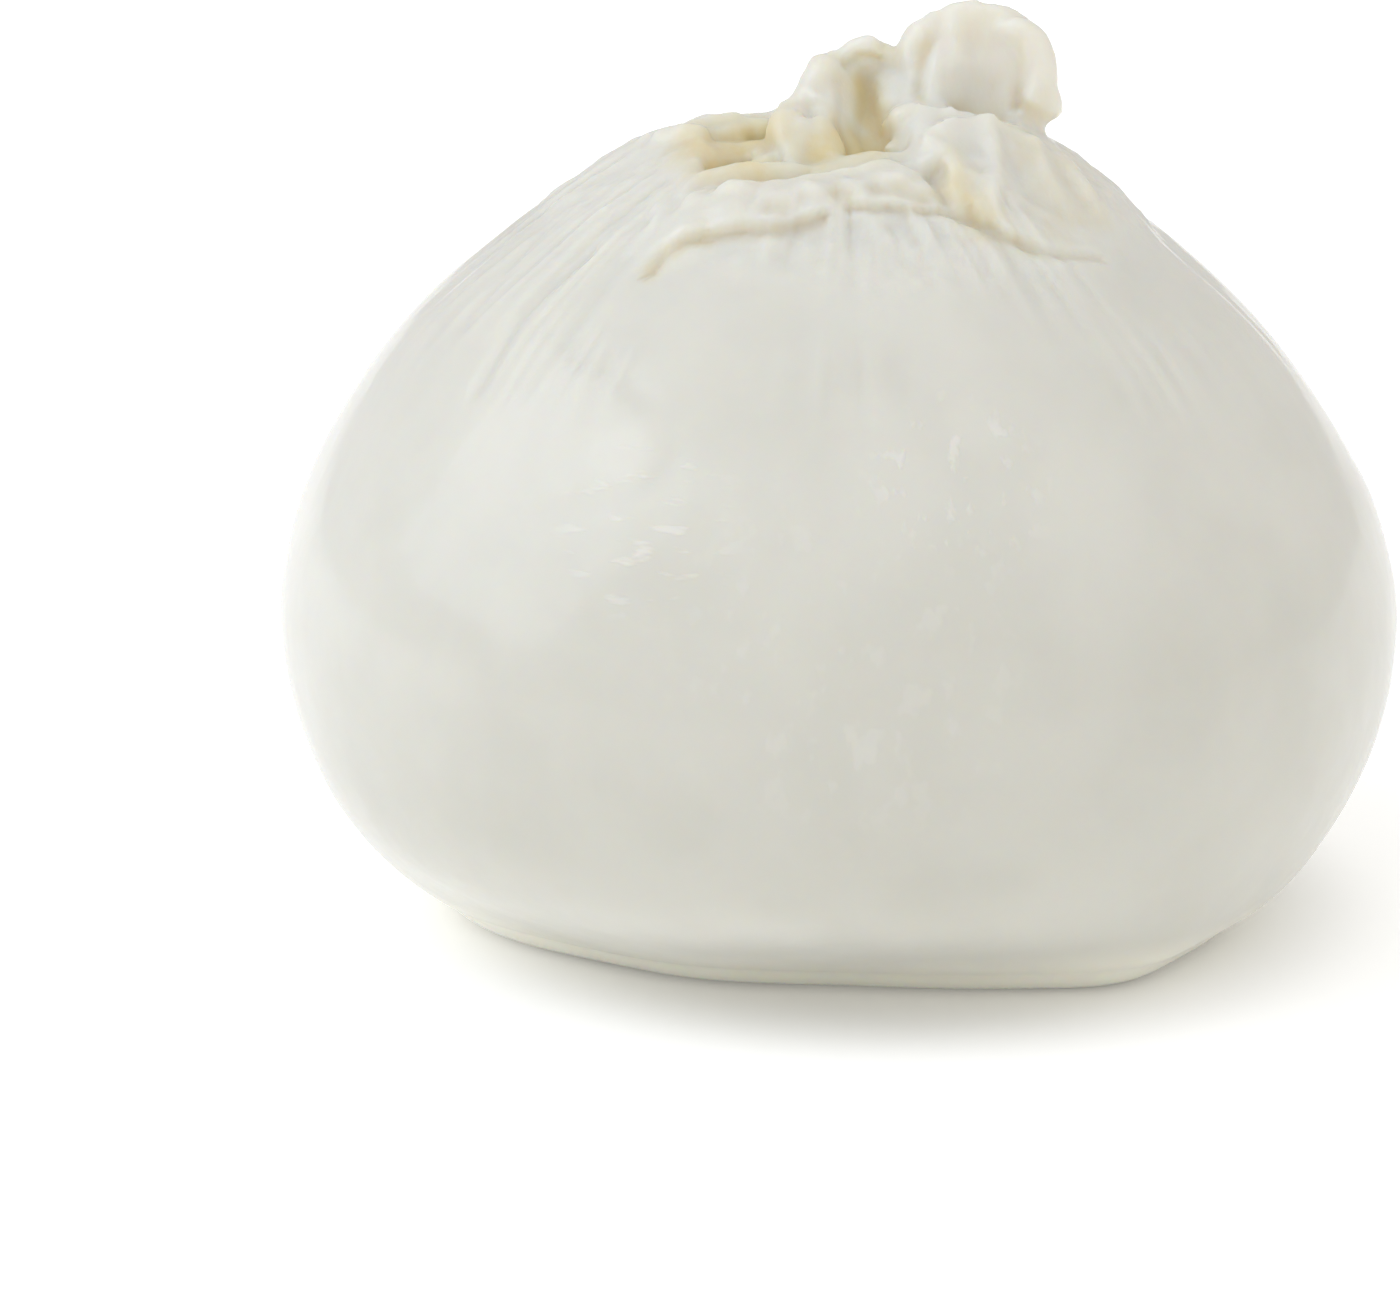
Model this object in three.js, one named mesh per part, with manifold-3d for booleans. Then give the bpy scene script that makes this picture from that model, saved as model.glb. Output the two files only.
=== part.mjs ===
// A burrata: a soft pouch of stretched curd that sits on a flat foot, drawn together at the
// top into a collar of overlapping folds, with the torn end of the skin standing out of it
// as a ruffled topknot. It is one piece of cheese, so it is one solid.
// Millimetres, +Z up, +X to the right of the front view, the origin at the centre of the foot.
import * as THREE from "three";
import { LoftGeometry } from "three/addons/geometries/LoftGeometry.js";
import { mergeVertices } from "three/addons/utils/BufferGeometryUtils.js";
import Module from "manifold-3d";

// ---- driving dimensions ----
const GIRTH_RADIUS = 43.4; // at the widest level
const GIRTH_HEIGHT = 22.5; // of that level
const FOOT_RADIUS = 27.5; // of the flat patch it rests on
const MOUTH_RADIUS = 12.4; // to the rim of the gathered mouth
const MOUTH_HEIGHT = 60.0; // of that rim
const MOUTH_DEPTH = 2.0; // from the rim down to the floor
const FRONT_DIP = 1.6; // how much lower the rim lies in front
const BACK_DIP = 3.4; // and behind
const SKIN = 3.0; // thickness of the stretched skin where it is folded

const RING_STEPS = 66; // points round the pouch
const RING_LEVELS = 30; // rings from the foot to the mouth
const FOLD_STEPS = 12; // sections along a fold
const FOLD_SIDES = 14; // points round a section of a fold
const ROLL_STEPS = 9; // sections along a roll
const ROLL_SIDES = 10; // points round a section of a roll

const SHOULDER_START = 0.35; // share of the outline at which the shoulder starts
const SHOULDER_END = 0.79; // and at which it ends at the mouth's rim
const HALVINGS = 24; // of that range, to find a height on the shoulder

const { PI, sin, cos, abs, sign, exp, min, max } = Math;
const RAD = PI / 180;

// ---- small helpers ----
const smooth = (low, high, x) => {
  const t = min(1, max(0, (x - low) / (high - low)));
  return t * t * (3 - 2 * t);
};
const bell = (x, width) => exp(-((x / width) ** 2));
const turnFrom = (azimuth, degrees) => Math.atan2(sin(azimuth - degrees * RAD), cos(azimuth - degrees * RAD));
const curve = (points) => new THREE.CatmullRomCurve3(points.map((p) => new THREE.Vector3(...p)));

const wasm = await Module();
wasm.setup();

// A closed three.js geometry as a solid that can be joined to others.
function solid(geometry) {
  const bare = new THREE.BufferGeometry();
  bare.setAttribute("position", geometry.getAttribute("position"));
  bare.setIndex(geometry.index);
  const merged = mergeVertices(bare, 1e-4);
  return new wasm.Manifold(
    new wasm.Mesh({
      numProp: 3,
      vertProperties: new Float32Array(merged.attributes.position.array),
      triVerts: new Uint32Array(merged.index.array),
    }),
  );
}

function geometryOf(made) {
  const mesh = made.getMesh();
  const geometry = new THREE.BufferGeometry();
  geometry.setAttribute("position", new THREE.BufferAttribute(mesh.vertProperties, 3));
  geometry.setIndex(new THREE.BufferAttribute(mesh.triVerts, 1));
  geometry.computeVertexNormals();
  return geometry;
}

// ---- the pouch ----
// Its outline from the foot to the floor of the mouth, as radius and height.
const outline = curve([
  [FOOT_RADIUS, 0, 0],
  [33.6, 0, 2.6],
  [38.2, 0, 7.4],
  [41.7, 0, 14],
  [GIRTH_RADIUS, 0, GIRTH_HEIGHT],
  [42.3, 0, 30.3],
  [38.7, 0, 37.6],
  [33.6, 0, 44.7],
  [27.7, 0, 50.8],
  [22.1, 0, 55.2],
  [16.8, 0, 58.4],
  [MOUTH_RADIUS, 0, MOUTH_HEIGHT],
  [9.6, 0, MOUTH_HEIGHT - 0.6 * MOUTH_DEPTH],
  [6.4, 0, MOUTH_HEIGHT - MOUTH_DEPTH],
  [2.0, 0, MOUTH_HEIGHT - 0.8 * MOUTH_DEPTH],
]);

// How far the pouch bulges out beside its foot, less how far it is tucked in there.
function heel(azimuth) {
  const bulge = 2.8 * bell(turnFrom(azimuth, -48), 0.13) + 0.8 * bell(turnFrom(azimuth, -28), 0.26);
  const tuck = 7.0 * bell(turnFrom(azimuth, -95), 0.57) + 4.0 * bell(turnFrom(azimuth, -136), 0.36);
  return bulge - tuck;
}

// A point of the pouch at a level from 0 to 1 along its outline. Above its girth the pouch
// leans to the left, and round its neck it is finely gathered.
function pouchPoint(level, azimuth) {
  const p = outline.getPoint(level);
  const low = 1 - smooth(2, 11, p.z);
  const rim = smooth(46, 60, p.z);
  const neck = smooth(46, 54, p.z) * (1 - smooth(57, 60, p.z));
  let radius = p.x + 0.4 * sin(2 * azimuth + 0.6) + 0.35 * sin(3 * azimuth + 2.0);
  radius += bell(p.z - 50, 10) * (0.5 - 1.2 * cos(azimuth)) - 0.7 * bell(p.z - 34, 11) * cos(azimuth);
  radius += 0.35 * neck * sin(13 * azimuth + 2 * sin(2 * azimuth));
  radius += low * heel(azimuth);
  const front = FRONT_DIP * bell(turnFrom(azimuth, -100), 0.9);
  const back = BACK_DIP * bell(turnFrom(azimuth, 95), 1.1);
  return new THREE.Vector3(radius * cos(azimuth), radius * sin(azimuth), p.z - rim * (front + back));
}

function pouch() {
  const sections = [];
  for (let i = 0; i <= RING_LEVELS; i++) {
    const ring = [];
    for (let j = 0; j < RING_STEPS; j++) ring.push(pouchPoint(i / RING_LEVELS, (j / RING_STEPS) * 2 * PI));
    sections.push(ring);
  }
  return new LoftGeometry(sections, { capStart: true, capEnd: true });
}

// The height of the pouch's skin over the shoulder, at a radius and an azimuth.
function skinHeight(radius, azimuth) {
  let low = SHOULDER_START;
  let high = SHOULDER_END;
  for (let i = 0; i < HALVINGS; i++) {
    const middle = (low + high) / 2;
    const p = pouchPoint(middle, azimuth);
    if (Math.hypot(p.x, p.y) > radius) low = middle;
    else high = middle;
  }
  return pouchPoint(low, azimuth).z;
}

// ---- folds ----
// A value that changes along a fold, from a number or from evenly spaced values.
function along(values, u) {
  if (!Array.isArray(values)) return values;
  const place = u * (values.length - 1);
  const i = min(values.length - 2, Math.floor(place));
  return values[i] + (values[i + 1] - values[i]) * smooth(0, 1, place - i);
}

// A fold is a thick sheet with a round rim, lofted from its foot line to its crest line.
// bow bends it halfway up and sway swings its crest.
function fold({ foot, crest, thick = SKIN, bow = 0, sway = 0, steps = FOLD_STEPS }) {
  const footLine = curve(foot);
  const crestLine = curve(crest);
  const sections = [];
  for (let i = 0; i <= steps; i++) {
    const u = 0.5 - 0.5 * cos((i / steps) * PI) * (1.12 - 0.12 * abs(cos((i / steps) * PI)));
    const low = footLine.getPoint(u);
    const rise = crestLine.getPoint(u).sub(low);
    const across = rise.clone().cross(footLine.getTangent(u).add(crestLine.getTangent(u))).normalize();
    const end = (1 - abs(2 * u - 1) ** 5) ** 0.5;
    const ring = [];
    for (let j = 0; j < FOLD_SIDES; j++) {
      const turn = (j / FOLD_SIDES) * 2 * PI;
      const v = 0.5 * (1 - sign(cos(turn)) * abs(cos(turn)) ** 0.75) * (0.9 + 0.1 * end);
      const half = 0.5 * along(thick, u) * (0.2 + 0.8 * end) * (1 + 0.12 * sin(5 * v + 11 * u));
      const side = half * sign(sin(turn)) * abs(sin(turn)) ** 0.7;
      const lean = along(bow, u) * sin(PI * v) + along(sway, u) * v;
      ring.push(low.clone().addScaledVector(rise, v).addScaledVector(across, side + lean));
    }
    sections.push(ring);
  }
  return new LoftGeometry(sections, { capStart: true, capEnd: true });
}

// A roll is a round bead of skin along a path, with a radius that changes along it.
function roll({ path, radius, steps = ROLL_STEPS }) {
  const line = curve(path);
  const sections = [];
  for (let i = 0; i <= steps; i++) {
    const u = 0.5 - 0.5 * cos((i / steps) * PI);
    const tangent = line.getTangent(u);
    const right = tangent.clone().cross(new THREE.Vector3(0.2, -1, 0.3)).normalize();
    const above = tangent.clone().cross(right);
    const swell = along(radius, u) * max(0.15, (1 - abs(2 * u - 1) ** 4) ** 0.5);
    const ring = [];
    for (let j = 0; j < ROLL_SIDES; j++) {
      const turn = (j / ROLL_SIDES) * 2 * PI;
      const out = right.clone().multiplyScalar(cos(turn)).addScaledVector(above, sin(turn));
      ring.push(line.getPoint(u).addScaledVector(out, swell));
    }
    sections.push(ring);
  }
  return new LoftGeometry(sections, { capStart: true, capEnd: true });
}

// ---- the collar ----
// Folds that lap over the shoulder from one azimuth to another. outer is the radius of the
// lower edge and inner that of the crest along the fold, and top is the height of the crest.
const COLLAR = {
  front: {
    from: -136, to: -62,
    outer: [23.4, 21.2, 18.8, 16.8, 16.0, 17.0],
    inner: [15.2, 14.4, 12.8, 10.6, 9.4, 10.0],
    top: [58.4, 58.9, 59.0, 59.4, 59.8, 60.2],
    thick: [2.2, 2.8, 3.0, 2.6, 3.2, 3.0],
    bow: -0.6,
  },
  drape: {
    from: -57, to: 14,
    outer: [19.4, 21.8, 23.6, 23.6, 21.6],
    inner: [9.4, 9.8, 12.2, 13.6, 13.4],
    top: [62.2, 62.9, 62.4, 60.9, 59.6],
    thick: [3.0, 2.6, 3.0, 2.8, 2.6],
    bow: [-0.9, 0.6, 0.2, -0.4, -0.8],
    steps: 16,
  },
  right: {
    from: 2, to: 66,
    outer: [20.6, 21.4, 19.6],
    inner: [14.0, 13.4, 12.0],
    top: [59.6, 58.6, 57.6],
    thick: 2.8,
    bow: -0.4,
  },
  back: {
    from: 50, to: 122,
    outer: [19.0, 21.0, 19.6],
    inner: [12.6, 12.0, 12.4],
    top: [57.8, 57.6, 57.2],
    thick: 3.0,
    bow: -0.5,
  },
  backLeft: {
    from: 106, to: 174,
    outer: [19.0, 22.4, 22.6],
    inner: [12.6, 13.2, 14.4],
    top: [57.2, 57.6, 59.0],
    thick: 2.8,
    bow: -0.4,
  },
  left: {
    from: 162, to: 228,
    outer: [21.6, 23.8, 24.0, 24.2, 23.4],
    inner: [15.0, 13.4, 10.4, 12.4, 15.2],
    top: [58.8, 60.7, 61.8, 60.3, 58.8],
    thick: [2.6, 2.8, 3.0, 2.8, 2.4],
    bow: [-0.3, 0.2, 0.8, 0.5, 0],
    steps: 16,
  },
};

function collarFold({ from, to, outer, inner, top, ...shape }) {
  const line = (radii, height) =>
    radii.map((radius, i) => {
      const azimuth = (from + ((to - from) * i) / (radii.length - 1)) * RAD;
      return [radius * cos(azimuth), radius * sin(azimuth), height(radius, azimuth, i)];
    });
  return fold({
    foot: line(outer, (radius, azimuth) => skinHeight(radius, azimuth) - 0.9),
    crest: line(inner, (radius, azimuth, i) => top[i]),
    ...shape,
  });
}

// ---- the topknot ----
const SHEETS = {
  fan: {
    foot: [[4.4, -2, 57], [9, -2, 57], [14.6, -1.4, 57]],
    crest: [[4.8, 2, 67], [6.6, 1.8, 69.6], [9, 1.2, 71], [12.4, 0.4, 70.8], [15, -0.6, 69], [16, -1.6, 65]],
    thick: [3.2, 3.0, 2.4, 2.6, 3.0],
    bow: -0.8,
    sway: [0, -0.4, 0.5, -0.3, 0.6, 1.0, 0.8, 0.4, 0],
    steps: 16,
  },
  midLobe: {
    foot: [[-3, 4, 57], [2, 5, 57], [6.5, 3, 57]],
    crest: [[-1.2, 2.2, 66.4], [0.8, 2.8, 67.5], [3, 2.9, 67.7], [4.8, 2.4, 66.2]],
    thick: 2.6,
    bow: 0.8,
  },
  leftLobe: {
    foot: [[-4.4, -8, 57], [-4.4, -4, 57], [-2, 2, 57]],
    crest: [[-4.4, -6.8, 60.4], [-4.2, -3.8, 63.2], [-2.4, -1.4, 65.4], [-0.8, 1.2, 67]],
    thick: [3.0, 3.4, 3.4, 3.0],
    bow: [0, -0.6, -0.4, 0],
  },
  backWall: {
    foot: [[-14, 2, 56], [-9, 3, 56], [-5, 6, 56]],
    crest: [[-12, 0.4, 61], [-9.2, 0.8, 62.1], [-7.4, 1.4, 61.9], [-5, 3.4, 61.4]],
    thick: 2.8,
  },
  backCurl: {
    foot: [[-3, 8, 56], [4, 8.6, 56], [12, 5, 56]],
    crest: [[-2.6, 6.6, 62.8], [1.4, 7.2, 64.4], [6.4, 6.6, 65.4], [11, 3.8, 64.2]],
    sway: [0.6, -0.8, 0.8, -0.6],
    thick: 3.2,
  },
};

const ROLLS = {
  fanRim: {
    path: [[11.6, -0.4, 69.2], [13.6, -0.8, 68.7], [14.7, -1.3, 66.8], [14.7, -1.9, 64.6], [14, -2.3, 63]],
    radius: [1.0, 1.3, 1.5, 1.3, 1.1],
    steps: 16,
  },
  fanTip: {
    path: [[13.8, -2.3, 62.9], [16.5, -2.1, 63.8]],
    radius: [1.1, 1.5],
  },
  fanEdge: {
    path: [[5.6, -1.4, 62.6], [5.4, 0, 66], [5.8, 0.4, 68], [7.4, 0.3, 69.6]],
    radius: [1.4, 1.3, 1.3, 1.0],
  },
  fanRidge: {
    path: [[7.4, -3, 62.6], [7, -1.8, 65.4], [7.6, -0.6, 68]],
    radius: [0.9, 0.8, 0.6],
  },
  midLip: {
    path: [[-0.9, 0.8, 66], [0.9, 0.6, 66.8], [2.7, 0.6, 66.9], [4.3, 1.2, 66]],
    radius: [0.9, 1.1, 1.2, 1.0],
  },
  lobeTop: {
    path: [[-0.8, 1, 65.8], [-1.4, -0.4, 65.5], [-2.6, -2, 63.9]],
    radius: [1.2, 1.5, 1.4],
  },
  lobeBulge: {
    path: [[-3.6, -3, 63], [-4.4, -4.6, 62], [-4.2, -6.4, 60.4]],
    radius: [1.3, 1.5, 1.5],
  },
  lumpTop: {
    path: [[3.2, -3.6, 62], [5, -4, 62.3], [7.6, -4.4, 61.8], [9.4, -4.6, 61.6]],
    radius: [1.2, 1.7, 1.7, 1.4],
  },
  lumpFront: {
    path: [[3.4, -5, 59.6], [5.2, -5.8, 60.2], [7.4, -6.2, 60.4]],
    radius: [1.3, 1.7, 1.6],
  },
  root: {
    path: [[-3, 6.4, 58], [3.4, 6.6, 59.4], [10.4, 3.8, 59]],
    radius: [2.2, 3.0, 2.4],
  },
};

const pieces = [
  pouch(),
  ...Object.values(COLLAR).map(collarFold),
  ...Object.values(SHEETS).map(fold),
  ...Object.values(ROLLS).map(roll),
].map(solid);
const whole = pieces.reduce((sum, piece) => sum.add(piece));

const curd = new THREE.MeshStandardMaterial({ color: 0xeceae0, roughness: 0.32, metalness: 0 });
const burrata = new THREE.Mesh(geometryOf(whole), curd);
burrata.name = "burrata";

const model = new THREE.Group();
model.add(burrata);

export default model;
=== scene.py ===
"""A fresh burrata on a pale studio floor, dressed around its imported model.

The pouch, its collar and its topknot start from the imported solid. Smaller folds and nubs of curd
are added to it, the whole is melted into one skin that is finest round the knot, and the skin
then gets its pleats, dimples and fibres.
"""

import math
from itertools import product

import bmesh
import bpy
import numpy as np
from bpy.props import FloatProperty, FloatVectorProperty, IntProperty, PointerProperty
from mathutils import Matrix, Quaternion, Vector
from mathutils.bvhtree import BVHTree


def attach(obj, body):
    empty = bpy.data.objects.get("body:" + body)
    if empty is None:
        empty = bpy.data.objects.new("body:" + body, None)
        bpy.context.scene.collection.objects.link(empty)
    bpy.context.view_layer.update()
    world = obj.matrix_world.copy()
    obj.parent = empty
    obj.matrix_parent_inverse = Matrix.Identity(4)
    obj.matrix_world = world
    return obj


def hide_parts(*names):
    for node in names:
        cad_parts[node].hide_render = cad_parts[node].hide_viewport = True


bl_info = {
    "name": "Burrata",
    "version": (1, 0, 0),
    "blender": (4, 5, 0),
    "location": "3D View > Sidebar > Burrata",
    "description": "Builds a fresh burrata and the studio round it",
    "category": "Object",
}

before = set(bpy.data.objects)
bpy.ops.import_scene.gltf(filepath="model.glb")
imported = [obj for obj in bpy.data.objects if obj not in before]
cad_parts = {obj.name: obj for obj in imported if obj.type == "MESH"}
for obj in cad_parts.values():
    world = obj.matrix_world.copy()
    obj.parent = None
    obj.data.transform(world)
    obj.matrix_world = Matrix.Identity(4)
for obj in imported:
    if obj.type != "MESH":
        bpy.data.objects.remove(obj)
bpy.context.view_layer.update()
NODE = "burrata"
BODY = "root"

MM = 0.001
KNOT = np.array([3.0, -2.0, 61.0])  # the middle of the topknot, in millimetres
FRONT = np.array([0.0, -0.964, 0.267])  # the direction in which the cheese faces

# Lengths, heights and radii from here on are in millimetres.
LONGEST_EDGE = 3.5  # in the copy of the solid that is melted
MOST_GRAINS = 4e6  # to the square metre
FOOT_HEIGHTS = (2.2, 0.5)  # the skin keeps its form above the first and is flat below the second
NECK_RADII = (20, 27)  # the torn curd gives way to the smooth body between these radii
NECK_HEIGHTS = (56, 48)  # and between these heights
KNOT_FLOOR = 50  # hollows are looked for above this height
KNOT_RADIUS = 29  # and within this radius
RAYS = 36  # how many rays feel how closed in a point is
RAY_REACH = 14  # and how far they reach
LOW_SHADE_HEIGHTS = (42.0, 12.0)  # the skin turns from milk to a darker painted shade low on the body between these
BOUNCE_HEIGHTS = (6.0, 1.0)  # and to the foot's paler colour, painted bounce light from the floor, between these
# the colour the flecks are lightened towards, a painted highlight
PAINTED_GLINT_COLOUR = (0.93, 0.93, 0.91, 1)
SHADE_SQUASH = 0.4  # the share of a distance from front to back that counts for a groove's painted shade
SHADOW_MIDDLE = (4.5, -0.7, 0.0)  # the middle of the painted shadow on the floor, where the floor glows least
SHADOW_RADII = (27.0, 41.0)  # it glows least within the first and fully beyond the second, painting the shadow's edge between
FLOOR_REACH = 6000  # from the middle of the floor to each side


# ---- numbers ----


def fade(low, high, x):
    """A smooth step from 0 at low to 1 at high."""
    t = np.clip((x - low) / (high - low), 0, 1)
    return t * t * (3 - 2 * t)


def bell(x, width):
    """A bump of height 1 at 0."""
    return np.exp(-((x / width) ** 2))


def noise(points, size, seed):
    """Smooth noise from -1 to 1 at each point, with lumps of about the size given."""
    place = points / size
    cell = np.floor(place).astype(np.int64)
    part = place - cell
    part = part * part * (3 - 2 * part)
    total = np.zeros(len(points))
    for corner in product((0, 1), repeat=3):
        key = (cell + corner) * (73856093, 19349663, 83492791)
        mixed = (key[:, 0] ^ key[:, 1] ^ key[:, 2]) + seed * 40503
        mixed = (mixed * 2654435761) & 0xFFFFFFFF
        mixed = ((mixed ^ (mixed >> 15)) * 2246822519) & 0xFFFFFFFF
        share = np.prod(np.where(corner, part, 1 - part), axis=1)
        total += share * ((mixed >> 8) / 8388608.0 - 1)
    return total


def spline(points, count):
    """Points along a smooth curve through the given points."""
    points = np.asarray(points, float)
    ends = np.vstack([2 * points[0] - points[1], points, 2 * points[-1] - points[-2]])
    place = np.linspace(0, len(points) - 1, count)
    start = np.minimum(place.astype(int), len(points) - 2)
    t = (place - start)[:, None]
    a, b, c, d = (ends[start + k] for k in range(4))
    return 0.5 * (
        2 * b + (c - a) * t + (2 * a - 5 * b + 4 * c - d) * t**2 + (3 * b - a - 3 * c + d) * t**3
    )


# ---- meshes ----


def linked(name, data):
    """A new object in the scene with this mesh, lamp or camera."""
    thing = bpy.data.objects.new(name, data)
    bpy.context.scene.collection.objects.link(thing)
    return thing


def mesh_object(name, points, faces):
    """A linked object with a mesh of these points, in millimetres, and faces."""
    mesh = bpy.data.meshes.new(name)
    mesh.from_pydata([tuple(p * MM) for p in points], [], [tuple(f) for f in faces])
    return linked(name, mesh)


def points_of(mesh):
    """A mesh's points as an array, in millimetres."""
    flat = np.empty(len(mesh.vertices) * 3, np.float32)
    mesh.vertices.foreach_get("co", flat)
    return flat.reshape(-1, 3).astype(float) / MM


def set_points(mesh, points):
    """Moves a mesh's points to those given, in millimetres."""
    mesh.vertices.foreach_set("co", (points * MM).astype(np.float32).ravel())
    mesh.update()


def normals_of(mesh):
    """A mesh's point normals as an array."""
    flat = np.empty(len(mesh.vertices) * 3, np.float32)
    mesh.vertex_normals.foreach_get("vector", flat)
    return flat.reshape(-1, 3).astype(float)


def edges_of(mesh):
    """A mesh's edges as pairs of point numbers."""
    flat = np.empty(len(mesh.edges) * 2, np.int32)
    mesh.edges.foreach_get("vertices", flat)
    return flat.reshape(-1, 2)


def neighbour_mean(values, edges):
    """For each point, the mean of the values of the points it shares an edge with."""
    ends = np.concatenate([edges[:, 0], edges[:, 1]])
    others = np.concatenate([edges[:, 1], edges[:, 0]])
    count = np.bincount(ends, minlength=len(values))
    if values.ndim == 1:
        return np.bincount(ends, values[others], len(values)) / count
    columns = [np.bincount(ends, values[others, k], len(values)) for k in range(values.shape[1])]
    return np.stack(columns, axis=1) / count[:, None]


def remove(thing):
    """Removes an object and its mesh."""
    mesh = thing.data
    bpy.data.objects.remove(thing)
    bpy.data.meshes.remove(mesh)


def plain_copy(thing, name):
    """A new object with the evaluated mesh of another, which is removed."""
    evaluated = thing.evaluated_get(bpy.context.evaluated_depsgraph_get())
    copy = linked(name, bpy.data.meshes.new_from_object(evaluated))
    remove(thing)
    return copy


def join(things, name):
    """One new object with the meshes of several, which are removed."""
    bm = bmesh.new()
    for thing in things:
        bm.from_mesh(thing.data)
    mesh = bpy.data.meshes.new(name)
    bm.to_mesh(mesh)
    bm.free()
    for thing in things:
        remove(thing)
    return linked(name, mesh)


def nub(points, radii, flat, facing=(0.1, -0.9, 0.4), sides=12, steps=6):
    """A closed strand of curd along a smooth curve, with a radius at each point.

    Across its facing direction it is as wide as its radius says, and along it flat times that.
    """
    count = (len(points) - 1) * steps + 1
    path = spline(points, count)
    radius = np.interp(np.linspace(0, 1, count), np.linspace(0, 1, len(radii)), radii)
    along = np.gradient(path, axis=0)
    along /= np.linalg.norm(along, axis=1)[:, None]
    side = np.cross(along, np.asarray(facing, float))
    side /= np.maximum(np.linalg.norm(side, axis=1), 1e-6)[:, None]
    up = np.cross(side, along)
    turn = np.arange(sides) * math.tau / sides
    rings = [
        centre + r * (np.outer(np.cos(turn), s) + flat * np.outer(np.sin(turn), u))
        for centre, r, s, u in zip(path, radius, side, up)
    ]
    ends = [path[0] - along[0] * radius[0] * 0.6, path[-1] + along[-1] * radius[-1] * 0.6]
    points = np.vstack(rings + [ends])
    faces = []
    for k in range(sides):
        after = (k + 1) % sides
        for ring in range(count - 1):
            low, high = ring * sides, (ring + 1) * sides
            faces.append((low + k, low + after, high + after, high + k))
        last = (count - 1) * sides
        faces.append((after, k, count * sides))
        faces.append((last + k, last + after, count * sides + 1))
    return mesh_object("nub", points, faces)


# ---- node trees ----


class Socket:
    """A node's output that can be used in a Python expression, in a shader or a geometry tree."""

    def __init__(self, tree, output):
        self.tree = tree
        self.output = output

    def math(self, operation, *others):
        """The output of a Math node of this value and others."""
        values = dict(enumerate((self, *others)))
        return self.tree.add("ShaderNodeMath", {"operation": operation}, values)

    def __add__(self, other):
        return self.math("ADD", other)

    def __sub__(self, other):
        return self.math("SUBTRACT", other)

    def __rsub__(self, other):
        return self.tree.add("ShaderNodeMath", {"operation": "SUBTRACT"}, {0: other, 1: self})

    def __mul__(self, other):
        return self.math("MULTIPLY", other)

    def __truediv__(self, other):
        return self.math("DIVIDE", other)

    __radd__ = __add__


class Tree:
    """Adds nodes to a node tree, each in one call."""

    def __init__(self, tree):
        self.tree = tree

    def add(self, kind, settings=None, inputs=None, output=0):
        """A node of this kind: its settings first, then its sockets' values or links."""
        node = self.tree.nodes.new(kind)
        for name, value in (settings or {}).items():
            setattr(node, name, value)
        for name, value in (inputs or {}).items():
            socket = node.inputs[name]
            if isinstance(value, Socket):
                self.tree.links.new(value.output, socket)
            else:
                socket.default_value = value
        return Socket(self, node.outputs[output]) if len(node.outputs) else node

    def vector(self, operation, a, b=(0, 0, 0), output=0):
        """The output of a Vector Math node."""
        return self.add("ShaderNodeVectorMath", {"operation": operation}, {0: a, 1: b}, output)

    def scale(self, vector, factor):
        """A vector times a number."""
        return self.add(
            "ShaderNodeVectorMath", {"operation": "SCALE"}, {0: vector, "Scale": factor}
        )

    def step(self, low, high, value):
        """A smooth step from 0 at low to 1 at high, or down where low is above high."""
        if low > high:
            return 1 - self.step(high, low, value)
        return self.add(
            "ShaderNodeMapRange",
            {"interpolation_type": "SMOOTHSTEP"},
            {"Value": value, "From Min": low, "From Max": high},
        )

    def noise(self, vector, scale, detail, roughness=0.5):
        """Smooth noise from 0 to 1 along a vector."""
        return self.add(
            "ShaderNodeTexNoise",
            None,
            {"Vector": vector, "Scale": scale, "Detail": detail, "Roughness": roughness},
        )

    def blend(self, factor, a, b):
        """A colour from a at factor 0 to b at factor 1."""
        return self.add(
            "ShaderNodeMix", {"data_type": "RGBA"}, {0: factor, 6: a, 7: b}, output=2
        )


def node_group(name, kinds):
    """A Tree on a new Geometry Nodes group, and the outputs that hold its inputs, by name."""
    group = bpy.data.node_groups.new(name, "GeometryNodeTree")
    for side in ("INPUT", "OUTPUT"):
        group.interface.new_socket("Geometry", in_out=side, socket_type="NodeSocketGeometry")
    for label, kind in kinds.items():
        group.interface.new_socket(label, in_out="INPUT", socket_type=f"NodeSocket{kind}")
    tree = Tree(group)
    given = group.nodes.new("NodeGroupInput")
    return tree, {label: Socket(tree, given.outputs[label]) for label in ("Geometry", *kinds)}


def end_group(tree, geometry, material):
    """Ends a group in Realize Instances and Set Material, and gives the group."""
    real = tree.add("GeometryNodeRealizeInstances", None, {0: geometry})
    done = tree.add("GeometryNodeSetMaterial", None, {0: real, "Material": material})
    tree.add("NodeGroupOutput", None, {0: done})
    return tree.tree


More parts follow.
